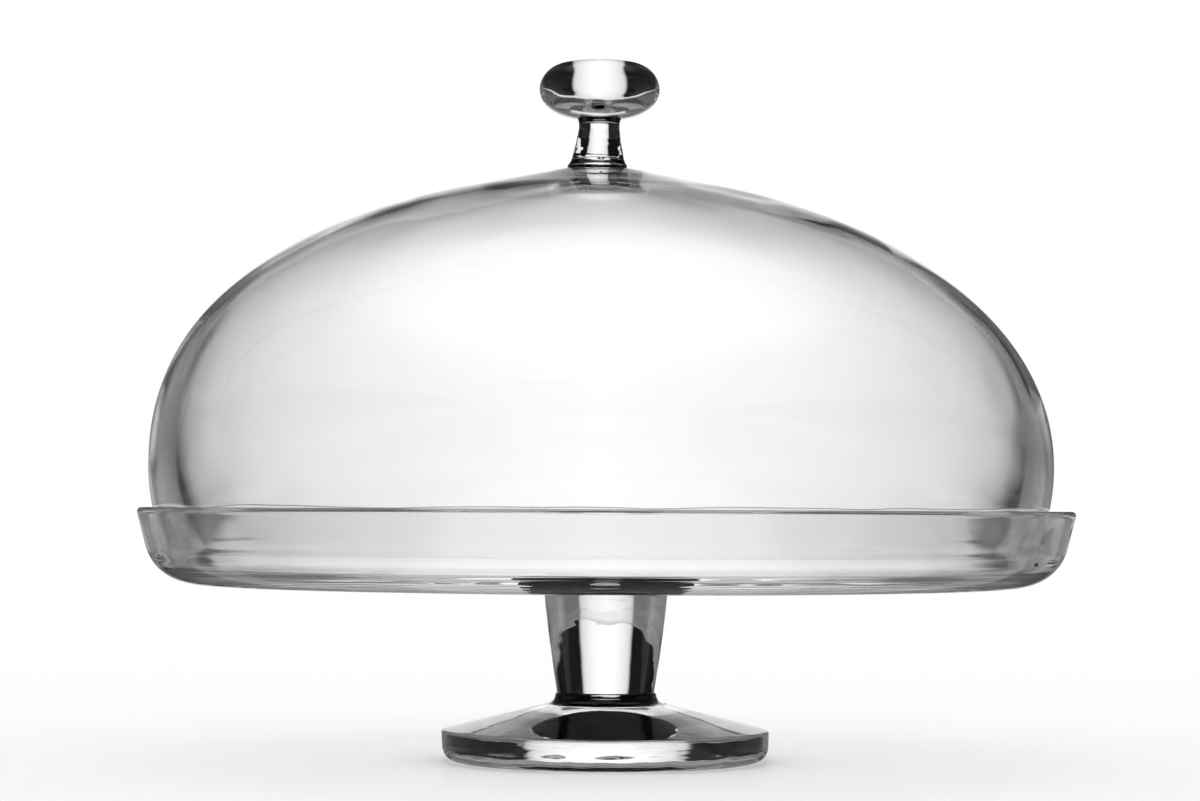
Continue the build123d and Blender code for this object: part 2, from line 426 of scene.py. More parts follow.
COLLAR_HEIGHT = 4.2
SKIRT_OUT, SKIRT_IN = (19.6, 19.42), (17.9, 20.3)
GROOVE = (17.25, 22.95)
PUDDLE_R, PUDDLE_RISE = 17.5, 2.7
STEM_BOTTOM_R = 16.7
STEM_TOP_R = 21.5
STEM_BELLY = 0.35
PLATE_UNDERSIDE_Z = 60.0
collar_top_z = foot_seat_z + COLLAR_HEIGHT
puddle = (PUDDLE_R, foot_seat_z + PUDDLE_RISE)
stem_bottom = (STEM_BOTTOM_R, collar_top_z)
stem_top = (STEM_TOP_R, PLATE_UNDERSIDE_Z)
stem_middle = ((STEM_BOTTOM_R + STEM_TOP_R) / 2 + STEM_BELLY, (collar_top_z + PLATE_UNDERSIDE_Z) / 2)
stem_collar = turn(
    "stem_collar",
    [
        (FUSED, 0, run((0, foot_seat_z), foot_seat, 6)),
        ("free", 1, bend(foot_seat, SKIRT_OUT, SKIRT_IN, puddle, 16)),
        ("free", 1, through(puddle, GROOVE, stem_bottom, 10)),
        (FUSED, 0, run(stem_bottom, (0, collar_top_z), 6) + [(0, collar_top_z)]),
    ],
    steps=224,
    wobble=(0.35, 7),
    marks=(0.12, 1.6),
    seed=8,
    finish=fire_polished,
    fade=1.0,
)
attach(stem_collar, "stand")
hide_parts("stem_collar")

stem = turn(
    "stem",
    [
        (FUSED, 0, run((0, collar_top_z), stem_bottom, 6)),
        ("free", 1, through(stem_bottom, stem_middle, stem_top, 56)),
        (FUSED, 0, run(stem_top, (0, PLATE_UNDERSIDE_Z), 6) + [(0, PLATE_UNDERSIDE_Z)]),
    ],
    steps=224,
    wobble=(0.16, 14),
    marks=(0.03, 5),
    seed=5,
    finish=fire_polished,
)
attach(stem, "stand")
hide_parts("stem")

# The plate. Clear glass spun open while hot to a flat floor, then a belly and a leaning wall turned up
# at its edge, with a thin fire-polished rim. It is the one wide piece of the stand, so its floor lies
# a little wavy and the belly keeps faint rings from the paddle.

# Glass spun flat and polished in the fire: smoother than the tooled pieces, with only long slow swells.
SPUN_SWELL_MM = 30.0
spun, tree = new_finish("clear glass, spun and fire polished")
spot = node(tree, "ShaderNodeTexCoord").outputs["Object"]
swell = node(tree, "ShaderNodeTexNoise", Vector=spot, Scale=1 / (SPUN_SWELL_MM * MM), Detail=1.0).outputs[0]
slow = node(tree, "ShaderNodeBump", Strength=0.1, Distance=0.2 * MM, Height=swell).outputs[0]
body_tint = node(tree, "ShaderNodeValToRGB", Fac=swell)
body_tint.color_ramp.elements[0].color = tint("#FCFDFC")
body_tint.color_ramp.elements[1].color = tint("#FFFFFF")
shader = node(
    tree,
    "ShaderNodeBsdfPrincipled",
    Base_Color=body_tint.outputs[0],
    Roughness=0.0,
    IOR=GLASS_IOR,
    Transmission_Weight=1.0,
    Normal=slow,
).outputs[0]
node(tree, "ShaderNodeOutputMaterial", Surface=shader)

FLOOR_THICKNESS = 5.4
RIM_R = 160.2
PLATE_DEPTH = 20.6
PLATE_WALL = 3.0
WALL_LEAN = 14.5
BELLY_WIDTH = 19.4
BELLY_HEIGHT = 13.0
BELLY_FLOOR_REACH = 12.0
BELLY_WALL_REACH = 6.2
INNER_ROUND = 5.5
RIM_ROUND = 1.35
DOME_PATH_R = 138.0
floor_z = PLATE_UNDERSIDE_Z + FLOOR_THICKNESS
rim_z = floor_z + PLATE_DEPTH
belly_top_z = PLATE_UNDERSIDE_Z + BELLY_HEIGHT
belly_top = (RIM_R - (rim_z - belly_top_z) * slope_of(WALL_LEAN), belly_top_z)
belly_start = (belly_top[0] - BELLY_WIDTH, PLATE_UNDERSIDE_Z)
belly_pull_a = (belly_start[0] + BELLY_FLOOR_REACH, PLATE_UNDERSIDE_Z)
wall_down = (-math.sin(math.radians(WALL_LEAN)), -math.cos(math.radians(WALL_LEAN)))
belly_pull_b = tuple(belly_top[k] + wall_down[k] * BELLY_WALL_REACH for k in (0, 1))
inner_rim_r = RIM_R - PLATE_WALL / math.cos(math.radians(WALL_LEAN))
inner_corner_r = inner_rim_r - PLATE_DEPTH * slope_of(WALL_LEAN)
flat_floor_r = inner_corner_r - INNER_ROUND / slope_of(45 + WALL_LEAN / 2)
outer_rim, inner_rim = (RIM_R, rim_z), (inner_rim_r, rim_z)
inner_corner = (inner_corner_r, floor_z)
rim_out = corner(belly_top, outer_rim, inner_rim, RIM_ROUND, 8)
rim_in = corner(outer_rim, inner_rim, inner_corner, RIM_ROUND, 8)
floor_round = corner(inner_rim, inner_corner, (0, floor_z), INNER_ROUND, 16)
plate = turn(
    "plate",
    [
        (FUSED, 0, run((0, PLATE_UNDERSIDE_Z), stem_top, 6)),
        ("free", 1, run(stem_top, belly_start, 44)),
        ("free", 1, bend(belly_start, belly_pull_a, belly_pull_b, belly_top, 26)),
        ("free", 1, run(belly_top, rim_out[0], 14)),
        (STILL, 0, rim_out + rim_in),
        ("free", 1, run(rim_in[-1], floor_round[0], 18)[1:] + floor_round[:-1]),
        (STILL, 0, run(floor_round[-1], (DOME_PATH_R, floor_z), 4)),
        ("free", 0.6, run((DOME_PATH_R, floor_z), (0, floor_z), 46) + [(0, floor_z)]),
    ],
    steps=384,
    wobble=(0.07, 26),
    marks=(0.015, 9),
    seed=12,
    finish=spun,
    fade=6.0,
)
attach(plate, "stand")
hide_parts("plate")

# The dome. A bell of clear glass blown on the iron, thin and nearly even, drawn in a little below its
# widest ring. Its rim was cracked off, ground flat and polished, and it stands loose on the plate's
# floor. Blown freehand, it leans a few millimetres to one side on the way up.

FLOOR_CLEARANCE = 2.8
DRAW_IN = 9.6
DOME_WALL = 2.3
WIDEST_HEIGHT = 35.4
SEAT_HEIGHT = 138.2
CROWN_R = 50.0
CROWN_SLOPE = 12.0
SHOULDER_REACH = 36.4
SIDE_REACH = 61.3
EDGE_BEVEL = 0.4
APEX_R = 18.0
SEAT_R = 10.0
AIR_GAP = 0.02
dome_edge_r = flat_floor_r - FLOOR_CLEARANCE
dome_r = dome_edge_r + DRAW_IN
widest_z = floor_z + WIDEST_HEIGHT
seat_z = floor_z + SEAT_HEIGHT
crown_z = seat_z - (CROWN_R - SEAT_R) * slope_of(CROWN_SLOPE)
slope_down = (math.cos(math.radians(CROWN_SLOPE)), -math.sin(math.radians(CROWN_SLOPE)))


def smooth_share(value, low, high):
    t = max(0.0, min(1.0, (value - low) / (high - low)))
    return t * t * (3 - 2 * t)


LEAN_AT_EDGE = 1.9
LEAN_UP_SIDE, SIDE_END_Z = 2.6, 180.0
LEAN_BACK, BACK_START_Z, BACK_END_Z = 1.4, 184.0, 222.0


def cover_lean(z):
    """How far to the side the freehand cover stands at a height, in millimetres."""
    side = LEAN_UP_SIDE * smooth_share(z, widest_z, SIDE_END_Z)
    return LEAN_BACK * smooth_share(z, BACK_START_Z, BACK_END_Z) - LEAN_AT_EDGE - side


def dome_side(inset, steps):
    """The dome's wall from its crown down to its ground edge, moved in by inset."""
    scale = 1 - inset / dome_r
    crown = (
        CROWN_R - math.sin(math.radians(CROWN_SLOPE)) * inset,
        crown_z - math.cos(math.radians(CROWN_SLOPE)) * inset,
    )
    widest = (dome_r - inset, widest_z)
    shoulder_pull = tuple(crown[k] + slope_down[k] * SHOULDER_REACH * scale for k in (0, 1))
    side_pull = (widest[0], widest_z + SIDE_REACH * scale)
    ball = (WIDEST_HEIGHT**2 + DRAW_IN**2) / (2 * DRAW_IN) - inset
    centre = (dome_r - inset - ball, widest_z)
    foot_angle = math.degrees(math.asin((floor_z + EDGE_BEVEL - widest_z) / ball))
    points = bend(crown, shoulder_pull, side_pull, widest, steps)
    points += swing(centre, ball, 0, foot_angle, steps // 2)
    end = math.radians(foot_angle)
    return points + [(centre[0] + ball * math.cos(end), centre[1] + ball * math.sin(end))]


outer_wall = dome_side(0, 56)
inner_wall = dome_side(DOME_WALL, 56)
cap_ball = APEX_R / math.sin(math.radians(CROWN_SLOPE))
cap_edge_z = inner_wall[0][1] + (inner_wall[0][0] - APEX_R) * slope_of(CROWN_SLOPE)
cap_centre = (0.0, cap_edge_z - cap_ball * math.cos(math.radians(CROWN_SLOPE)))
edge_z = floor_z + AIR_GAP
ground_in = (inner_wall[-1][0] + EDGE_BEVEL, edge_z)
ground_out = (outer_wall[-1][0] - EDGE_BEVEL, edge_z)

# The dome's ground rim: flatted on a wheel and polished again, so it is clear but a shade softer than
# the fire-polished skin, with the finest trace of the grit.
GRIT_MM = 0.25
ground_edge, tree = new_finish("clear glass, edge ground and polished")
spot = node(tree, "ShaderNodeTexCoord").outputs["Object"]
grit = node(tree, "ShaderNodeTexNoise", Vector=spot, Scale=1 / (GRIT_MM * MM), Detail=3.0).outputs[0]
haze = node(tree, "ShaderNodeMapRange", Value=grit, To_Min=0.02, To_Max=0.14).outputs[0]
scratched = node(tree, "ShaderNodeBump", Strength=0.3, Distance=0.02 * MM, Height=grit).outputs[0]
shader = node(
    tree,
    "ShaderNodeBsdfPrincipled",
    Base_Color=tint("#F8FAF9"),
    Roughness=haze,
    IOR=GLASS_IOR,
    Transmission_Weight=1.0,
    Normal=scratched,
).outputs[0]
node(tree, "ShaderNodeOutputMaterial", Surface=shader)

# Blown glass: thinner and cleaner than the worked gathers, with long faint swells down the wall.
BLOWN_SWELL_MM = 34.0
blown, tree = new_finish("clear glass, mouth blown")
spot = node(tree, "ShaderNodeTexCoord").outputs["Object"]
drawn = node(tree, "ShaderNodeMapping", Vector=spot, Scale=(1.0, 1.0, 0.45)).outputs[0]
swell = node(
    tree, "ShaderNodeTexNoise", Vector=drawn, Scale=1 / (BLOWN_SWELL_MM * MM), Detail=1.5
).outputs[0]
slow = node(tree, "ShaderNodeBump", Strength=0.1, Distance=0.2 * MM, Height=swell).outputs[0]
body_tint = node(tree, "ShaderNodeValToRGB", Fac=swell)
body_tint.color_ramp.elements[0].color = tint("#FDFEFE")
body_tint.color_ramp.elements[1].color = tint("#FEFEFE")
shader = node(
    tree,
    "ShaderNodeBsdfPrincipled",
    Base_Color=body_tint.outputs[0],
    Roughness=0.0,
    IOR=GLASS_IOR,
    Transmission_Weight=1.0,
    Normal=slow,
).outputs[0]
node(tree, "ShaderNodeOutputMaterial", Surface=shader)

dome = turn(
    "dome",
    [
        ("free", 1, swing(cap_centre, cap_ball, 90, 90 - CROWN_SLOPE, 14)),
        ("free", 1, run((APEX_R, cap_edge_z), inner_wall[0], 14) + inner_wall),
        (GROUND, 0, run(ground_in, ground_out, 6)),
        ("free", 1, [ground_out] + outer_wall[::-1]),
        ("free", 1, run(outer_wall[0], (SEAT_R, seat_z), 18)[1:]),
        (FUSED, 0, run((SEAT_R, seat_z), (0, seat_z), 5) + [(0, seat_z)]),
    ],
    steps=384,
    wobble=(0.10, 45),
    marks=(0.0, 10),
    seed=21,
    finish=blown,
    ground=ground_edge,
    fade=6.0,
    lean=cover_lean,
)
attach(dome, "cover")
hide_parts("dome")

# The knob with its neck and collar. Three small gathers of clear glass dropped one on the other on the
# dome's crown: a low ring, a waisted neck cut with the jacks, and a ball flattened against the marver.
# Solid, so it works as a strong lens, and the tool rings show at the neck.

KNOB_COLLAR_R = 10.3
KNOB_COLLAR_HEIGHT = 3.8
KNOB_COLLAR_EDGE = 1.3
FLARE_WIDTH = 0.4
FLARE_HEIGHT = 0.9
NECK_BOTTOM_R = 8.9
NECK_WAIST_R = 7.0
NECK_TOP_R = 7.6
NECK_HEIGHT = 13.3
WAIST_DROP = 1.9
NECK_TUCK, NECK_RISE = 0.9, 4.0
WAIST_REACH_DOWN, WAIST_REACH_UP = 3.2, 0.7
TOP_TUCK, TOP_DROP = 0.35, 0.4
KNOB_R = 20.8
KNOB_FLAT_R = 10.8
KNOB_LOWER = 10.0
KNOB_UPPER = 9.1
UNDER_SLOPE = 9.0
KNOB_SIDE_REACH = 6.0
KNOB_UNDER_REACH = 6.6
neck_bottom = (NECK_BOTTOM_R, seat_z + KNOB_COLLAR_HEIGHT)
flare_bottom = (SEAT_R, seat_z + KNOB_COLLAR_EDGE)
ring_middle = (KNOB_COLLAR_R, seat_z + KNOB_COLLAR_EDGE / 2)
flare_pull = (NECK_BOTTOM_R + FLARE_WIDTH, flare_bottom[1] + FLARE_HEIGHT)
flare_pull_a = tuple(flare_bottom[k] + (flare_pull[k] - flare_bottom[k]) * 2 / 3 for k in (0, 1))
flare_pull_b = tuple(neck_bottom[k] + (flare_pull[k] - neck_bottom[k]) * 2 / 3 for k in (0, 1))
knob_collar = turn(
    "knob_collar",
    [
        (FUSED, 0, run((0, seat_z), (SEAT_R, seat_z), 5)),
        ("free", 1, through((SEAT_R, seat_z), ring_middle, flare_bottom, 10)),
        ("free", 1, bend(flare_bottom, flare_pull_a, flare_pull_b, neck_bottom, 14)),
        (FUSED, 0, run(neck_bottom, (0, neck_bottom[1]), 5) + [(0, neck_bottom[1])]),
    ],
    steps=160,
    wobble=(0.3, 5),
    marks=(0.1, 1.2),
    seed=31,
    finish=fire_polished,
    fade=0.8,
    lean=cover_lean,
)
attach(knob_collar, "cover")
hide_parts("knob_collar")

knob_bottom = (NECK_TOP_R, neck_bottom[1] + NECK_HEIGHT)
waist = (NECK_WAIST_R, knob_bottom[1] - WAIST_DROP)
neck_pull = (NECK_BOTTOM_R - NECK_TUCK, neck_bottom[1] + NECK_RISE)
waist_pull = (NECK_WAIST_R, waist[1] - WAIST_REACH_DOWN)
neck_side = bend(neck_bottom, neck_pull, waist_pull, waist, 22)
waist_pull = (NECK_WAIST_R, waist[1] + WAIST_REACH_UP)
top_pull = (NECK_TOP_R - TOP_TUCK, knob_bottom[1] - TOP_DROP)
neck_side += bend(waist, waist_pull, top_pull, knob_bottom, 8)
knob_neck = turn(
    "knob_neck",
    [
        (FUSED, 0, run((0, neck_bottom[1]), neck_bottom, 5)),
        ("free", 1, neck_side),
        (FUSED, 0, run(knob_bottom, (0, knob_bottom[1]), 5) + [(0, knob_bottom[1])]),
    ],
    steps=160,
    wobble=(0.14, 8),
    marks=(0.12, 1.5),
    seed=34,
    finish=fire_polished,
    fade=1.0,
    lean=cover_lean,
)
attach(knob_neck, "cover")
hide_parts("knob_neck")

knob_side_z = knob_bottom[1] + KNOB_LOWER
knob_top_z = knob_side_z + KNOB_UPPER
under = math.radians(UNDER_SLOPE)
under_pull = (
    NECK_TOP_R + math.cos(under) * KNOB_UNDER_REACH,
    knob_bottom[1] + math.sin(under) * KNOB_UNDER_REACH,
)
knob_side = (KNOB_R, knob_side_z)
knob_side_pull = (KNOB_R, knob_side_z - KNOB_SIDE_REACH)
lower_side = bend(knob_bottom, under_pull, knob_side_pull, knob_side, 28)
upper_side = [
    (KNOB_FLAT_R + (KNOB_R - KNOB_FLAT_R) * c, knob_side_z + KNOB_UPPER * s)
    for c, s in ((math.cos(math.radians(a)), math.sin(math.radians(a))) for a in range(0, 90, 4))
]
knob = turn(
    "knob",
    [
        (FUSED, 0, run((0, knob_bottom[1]), knob_bottom, 5)),
        ("free", 1, lower_side + upper_side),
        (STILL, 0, run((KNOB_FLAT_R, knob_top_z), (0, knob_top_z), 10) + [(0, knob_top_z)]),
    ],
    steps=224,
    wobble=(0.2, 14),
    marks=(0.0, 5),
    seed=37,
    finish=fire_polished,
    fade=4.0,
    lean=cover_lean,
)
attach(knob, "cover")
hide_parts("knob")

# The floor and the light. A white sheet under the stand, plain soft light from every side, and behind
# and before the object a bright field with dark beyond it, as glass is lit to make its edges draw.
FLOOR_HALF = 8.0
FLOOR_DROP = 0.3
sheet = bpy.data.meshes.new("floor")
sheet.from_pydata(
    [(x * FLOOR_HALF, y * FLOOR_HALF, -FLOOR_DROP * MM) for x, y in ((-1, -1), (1, -1), (1, 1), (-1, 1))],
    [],
    [(0, 1, 2, 3)],
)
floor = bpy.data.objects.new("floor", sheet)
bpy.context.scene.collection.objects.link(floor)

# White laminate sheet: matt to the eye, with a faint sheen close to the foot, and a mirror where glass
# sees it almost edge on. Through one or two clear walls it is seen white. Deeper in the glass it carries
# painted light along strips, with painted shade, a dark grey, between them. Its mottle is drawn coarser
# than it is.
PAPER_MOTTLE_MM = 16.0
MIRROR_FROM, MIRROR_FULL = 0.818, 0.887
SHEEN = 0.05
SHEEN_FULL, SHEEN_GONE = 0.07, 0.16
# Where the sheet seen by glass gets painted light, and how much of it; the rest is painted shade.
NEAR_PAINTED_WHITE, NEAR_FADED = 0.062, 0.075
FAR_DARK, FAR_PAINTED_WHITE = 0.2, 0.35
LIT_STRIP = 0.05
STRIP_PAINTED_LIGHT = 0.4
STRIP_HALF, STRIP_FADED = math.radians(18), math.radians(26)
SIDE_STRIP, SIDE_STRIP_FADED = math.radians(80), math.radians(72)
STRAIGHT_PAINTED_LIGHT = 0.12
MIXED_LIT = 0.14
TWO_WALLS = 5.5
MIRRORED_ONCE, MIRRORED_TWICE = 0.5, 1.5
SOFT = "SMOOTHSTEP"
white_sheet, tree = new_finish("white laminate sheet, satin")
spot = node(tree, "ShaderNodeTexCoord").outputs["Object"]
mottle = node(
    tree, "ShaderNodeTexNoise", Vector=spot, Scale=1 / (PAPER_MOTTLE_MM * MM), Detail=2.0
).outputs[0]
white = node(tree, "ShaderNodeValToRGB", Fac=mottle)
white.color_ramp.elements[0].color = tint("#FEFEFE")
white.color_ramp.elements[1].color = tint("#FFFFFF")
matt = node(tree, "ShaderNodeBsdfDiffuse", Color=white.outputs[0]).outputs[0]
# Painted shade: the dark grey that glass sees on the sheet away from the painted light.
painted_shade = node(tree, "ShaderNodeBsdfDiffuse", Color=tint("#303030")).outputs[0]
sheen = node(tree, "ShaderNodeBsdfGlossy", Color=tint("#FFFFFF"), Roughness=0.04).outputs[0]
mirror = node(tree, "ShaderNodeBsdfGlossy", Color=tint("#F4F4F4"), Roughness=0.0).outputs[0]

# The sheet as the eye sees it, with a faint sheen close to the foot.
from_middle = node(tree, "ShaderNodeVectorMath", spot, operation="LENGTH").outputs["Value"]
near = node(
    tree, "ShaderNodeMapRange", from_middle, SHEEN_GONE, SHEEN_FULL, interpolation_type=SOFT
).outputs[0]
near_sheen = node(tree, "ShaderNodeMath", near, SHEEN, operation="MULTIPLY").outputs[0]
by_eye = node(tree, "ShaderNodeMixShader", near_sheen, matt, sheen).outputs[0]

# Painted light: strips before, behind and beside the object where glass finds the sheet white, standing in
# for light from the light wall.
away = node(tree, "ShaderNodeVectorMath", spot, operation="ABSOLUTE").outputs[0]
across, along, _ = node(tree, "ShaderNodeSeparateXYZ", away).outputs
past_strip = node(tree, "ShaderNodeMath", across, LIT_STRIP, operation="SUBTRACT").outputs[0]
past_strip = node(tree, "ShaderNodeMath", past_strip, 0.0, operation="MAXIMUM").outputs[0]
aside = node(tree, "ShaderNodeMath", past_strip, along, operation="ARCTAN2").outputs[0]
ahead = node(tree, "ShaderNodeMapRange", aside, STRIP_FADED, STRIP_HALF, interpolation_type=SOFT).outputs[0]
beside = node(
    tree, "ShaderNodeMapRange", aside, SIDE_STRIP_FADED, SIDE_STRIP, interpolation_type=SOFT
).outputs[0]
painted_light_strips = node(tree, "ShaderNodeMath", ahead, beside, operation="MAXIMUM").outputs[0]
painted_light_strips = node(tree, "ShaderNodeMath", painted_light_strips, STRIP_PAINTED_LIGHT, operation="MULTIPLY").outputs[0]

# How much painted light a straight look finds on the sheet: fully far out, under the foot and through two
# clear walls at most, faintly elsewhere, and painted shade for the rest. Rays mirrored more than once find
# it faint everywhere.
seen = node(tree, "ShaderNodeLightPath").outputs
surfaces, mirrors = seen["Transmission Depth"], seen["Glossy Depth"]
far = node(tree, "ShaderNodeMapRange", from_middle, FAR_DARK, FAR_PAINTED_WHITE, interpolation_type=SOFT).outputs[0]
under_foot = node(
    tree, "ShaderNodeMapRange", from_middle, NEAR_FADED, NEAR_PAINTED_WHITE, interpolation_type=SOFT
).outputs[0]
found = node(tree, "ShaderNodeMath", surfaces, TWO_WALLS, operation="LESS_THAN").outputs[0]
for part in (far, under_foot, STRAIGHT_PAINTED_LIGHT):
    found = node(tree, "ShaderNodeMath", found, part, operation="MAXIMUM").outputs[0]
straight = node(tree, "ShaderNodeMath", mirrors, MIRRORED_ONCE, operation="LESS_THAN").outputs[0]
found = node(tree, "ShaderNodeMath", found, straight, operation="MULTIPLY").outputs[0]
mixed = node(tree, "ShaderNodeMath", mirrors, MIRRORED_TWICE, operation="GREATER_THAN").outputs[0]
mixed = node(tree, "ShaderNodeMath", mixed, MIXED_LIT, operation="MULTIPLY").outputs[0]
painted_light_share = painted_light_strips
for part in (found, mixed):
    painted_light_share = node(tree, "ShaderNodeMath", painted_light_share, part, operation="MAXIMUM").outputs[0]
# The sheet as glass sees it: painted light mixed over painted shade.
sheet_with_painted_light = node(tree, "ShaderNodeMixShader", painted_light_share, painted_shade, matt).outputs[0]
edge_on = node(tree, "ShaderNodeLayerWeight", Blend=0.5).outputs["Facing"]
mirror_share = node(
    tree, "ShaderNodeMapRange", edge_on, MIRROR_FROM, MIRROR_FULL, interpolation_type=SOFT
).outputs[0]
by_glass = node(tree, "ShaderNodeMixShader", mirror_share, sheet_with_painted_light, mirror).outputs[0]
either = node(tree, "ShaderNodeMixShader", seen["Is Camera Ray"], by_glass, by_eye).outputs[0]
node(tree, "ShaderNodeOutputMaterial", Surface=either)
sheet.materials.append(white_sheet)

# The light wall. A low ring of opal sheet a metre out, lit brightly behind and before the object, a
# little at each side, and dark between. Only glass sees it: the glass draws its dark edges where they
# bend the view past the bright part.
WALL_R = 1.0
WALL_TOP = 0.58
WALL_FADE = 0.3
WALL_STEPS = 128
turns = [2 * math.pi * i / WALL_STEPS for i in range(WALL_STEPS)]
around = [(math.cos(turned), math.sin(turned)) for turned in turns]
sheet = bpy.data.meshes.new("light_wall")
sheet.from_pydata(
    [(WALL_R * x, WALL_R * y, z) for z in (-FLOOR_DROP * MM, WALL_TOP) for x, y in around],
    [],
    [
        (i, i + WALL_STEPS, (i + 1) % WALL_STEPS + WALL_STEPS, (i + 1) % WALL_STEPS)
        for i in range(WALL_STEPS)
    ],
)
light_wall = bpy.data.objects.new("light_wall", sheet)
bpy.context.scene.collection.objects.link(light_wall)
light_wall.visible_camera = False
light_wall.visible_diffuse = False
light_wall.visible_shadow = False

# Opal acrylic: an even glow that shows no lamp. The field is brightest in its middle and falls off to
# each side, a little sooner at the plate's height, and it is brighter high up. Rays mirrored in the glass
# find a faint stray light too.
BRIGHTEST = 1.17
BRIGHT_HALF = math.radians(20)
FALL_OFF = (
    (0.35, 0.9),
    (0.5, 0.85),
    (0.6, 0.8),
    (0.72, 0.73),
    (0.81, 0.67),
    (0.88, 0.5),
    (0.93, 0.2),
    (0.965, 0.03),
)
LOW_NARROWING = 0.10
LOW_AT, LOW_SPREAD = 0.075, 0.03
HIGH_BRIGHTER = 0.14
HIGH_FROM, HIGH_FULL = 0.14, 0.28
SIDE_HALF, SIDE_SOFT = math.radians(8), math.radians(2.5)
SIDE_GLOW = 0.14
GLOW_FROM, GLOW_FULL = math.radians(32), math.radians(16)
CLEAR_WALLS = 3.5
FILL = 0.8
FILL_FROM, FILL_FULL = math.radians(24), math.radians(34)
FILL_TOP, FILL_GONE = 0.08, 0.14
TALL_FROM, TALL_FULL = math.radians(30), math.radians(38)
WIDE_GLOW, WIDE_GLOW_LOW = 0.08, 0.14
WIDE_FULL, WIDE_FADED = math.radians(34), math.radians(70)
WIDE_LOW, WIDE_HIGH = 0.05, 0.15
DARK = 0.006
ROOM_DARK = 0.035
opal, tree = new_finish("opal acrylic sheet, lit from behind")
spot = node(tree, "ShaderNodeTexCoord").outputs["Object"]
_, backward, height = node(tree, "ShaderNodeSeparateXYZ", spot).outputs
away = node(tree, "ShaderNodeVectorMath", spot, operation="ABSOLUTE").outputs[0]
across, along, _ = node(tree, "ShaderNodeSeparateXYZ", away).outputs
aside = node(tree, "ShaderNodeMath", across, along, operation="ARCTAN2").outputs[0]
from_side = node(tree, "ShaderNodeMath", along, across, operation="ARCTAN2").outputs[0]
seen = node(tree, "ShaderNodeLightPath").outputs
surfaces, mirrors = seen["Transmission Depth"], seen["Glossy Depth"]
straight = node(tree, "ShaderNodeMath", mirrors, MIRRORED_ONCE, operation="LESS_THAN").outputs[0]

# The bright field, behind the object for every ray and before it only for a straight look.
off = node(tree, "ShaderNodeMath", height, LOW_AT, operation="SUBTRACT").outputs[0]
off = node(tree, "ShaderNodeMath", off, LOW_SPREAD, operation="DIVIDE").outputs[0]
off = node(tree, "ShaderNodeMath", off, off, operation="MULTIPLY").outputs[0]
off = node(tree, "ShaderNodeMath", off, -1.0, operation="MULTIPLY").outputs[0]
low = node(tree, "ShaderNodeMath", off, operation="EXPONENT").outputs[0]
narrowing = node(tree, "ShaderNodeMath", low, LOW_NARROWING, 1.0, operation="MULTIPLY_ADD").outputs[0]
spread = node(tree, "ShaderNodeMath", aside, narrowing, operation="MULTIPLY").outputs[0]
spread = node(tree, "ShaderNodeMath", spread, BRIGHT_HALF, operation="DIVIDE").outputs[0]
fall = node(tree, "ShaderNodeValToRGB", Fac=spread)
stops = fall.color_ramp.elements
stops[0].color = (1.0, 1.0, 1.0, 1.0)
stops[1].color = (0.0, 0.0, 0.0, 1.0)
for where, level in FALL_OFF:
    stops.new(where).color = (level, level, level, 1.0)
behind = node(tree, "ShaderNodeMath", backward, 0.0, operation="GREATER_THAN").outputs[0]
shows = node(tree, "ShaderNodeMath", behind, straight, operation="MAXIMUM").outputs[0]
high = node(tree, "ShaderNodeMapRange", height, HIGH_FROM, HIGH_FULL, interpolation_type=SOFT).outputs[0]
high = node(tree, "ShaderNodeMath", high, HIGH_BRIGHTER, 1.0, operation="MULTIPLY_ADD").outputs[0]
field = node(tree, "ShaderNodeMath", fall.outputs[0], BRIGHTEST, operation="MULTIPLY").outputs[0]
for part in (shows, high):
    field = node(tree, "ShaderNodeMath", field, part, operation="MULTIPLY").outputs[0]

# The sides: a narrow lit strip each way for a straight look, and a faint glow about it.
side = node(
    tree,
    "ShaderNodeMapRange",
    from_side,
    SIDE_HALF + SIDE_SOFT,
    SIDE_HALF - SIDE_SOFT,
    interpolation_type=SOFT,
).outputs[0]
side = node(tree, "ShaderNodeMath", side, straight, operation="MULTIPLY").outputs[0]
glow = node(tree, "ShaderNodeMapRange", from_side, GLOW_FROM, GLOW_FULL, interpolation_type=SOFT).outputs[0]
glow = node(tree, "ShaderNodeMath", glow, SIDE_GLOW, operation="MULTIPLY").outputs[0]

# The fill: past the field, a straight look through two clear walls or more finds the ring lit again.
walls = node(tree, "ShaderNodeMath", surfaces, CLEAR_WALLS, operation="GREATER_THAN").outputs[0]
fill = node(tree, "ShaderNodeMapRange", aside, FILL_FROM, FILL_FULL, interpolation_type=SOFT).outputs[0]
tall = node(tree, "ShaderNodeMapRange", aside, TALL_FROM, TALL_FULL, interpolation_type=SOFT).outputs[0]
low_down = node(tree, "ShaderNodeMapRange", height, FILL_GONE, FILL_TOP, interpolation_type=SOFT).outputs[0]
reach = node(tree, "ShaderNodeMath", tall, low_down, operation="MAXIMUM").outputs[0]
for part in (walls, straight, reach, FILL):
    fill = node(tree, "ShaderNodeMath", fill, part, operation="MULTIPLY").outputs[0]

